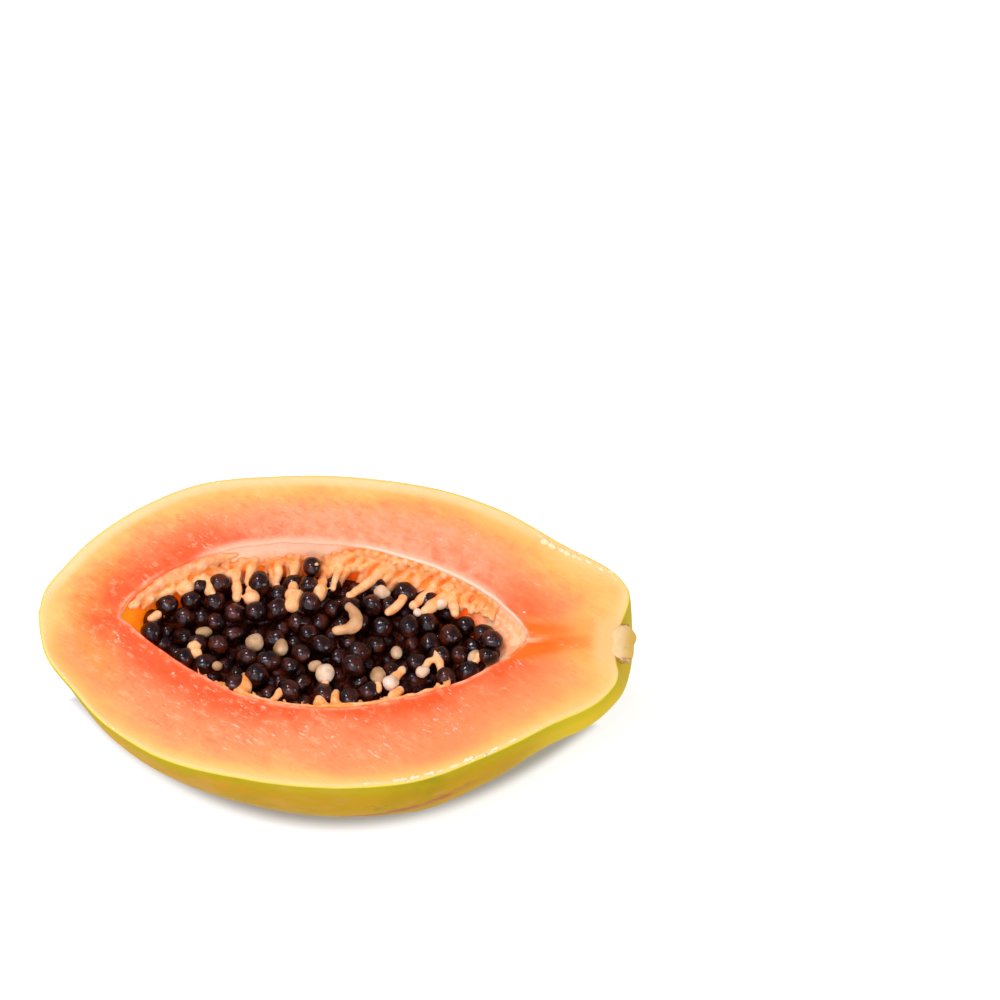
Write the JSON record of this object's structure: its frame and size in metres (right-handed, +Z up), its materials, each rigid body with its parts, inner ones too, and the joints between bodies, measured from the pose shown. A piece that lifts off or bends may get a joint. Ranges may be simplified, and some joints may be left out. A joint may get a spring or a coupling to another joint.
{
  "type": "papaya half",
  "caption": "Half of a ripe papaya cut lengthwise and lying on its skin, with its flesh, seed cavity, dark seeds and the stub of its stem.",
  "frame": {"origin": "middle of the small flat spot of skin that the half rests on, close under its centre of mass", "axes": "+X along the fruit towards its stem, +Y towards the side whose cavity wall the viewer sees, +Z up, square to the cut face"},
  "size_m": [0.1828, 0.1103, 0.0549],
  "materials": {
    "flesh": "satin",
    "seed": "gloss",
    "stem": "matte"
  },
  "bodies": {
    "root": {"papaya_half": "flesh", "seeds": "seed", "stem": "stem"}
  },
  "joints": []
}
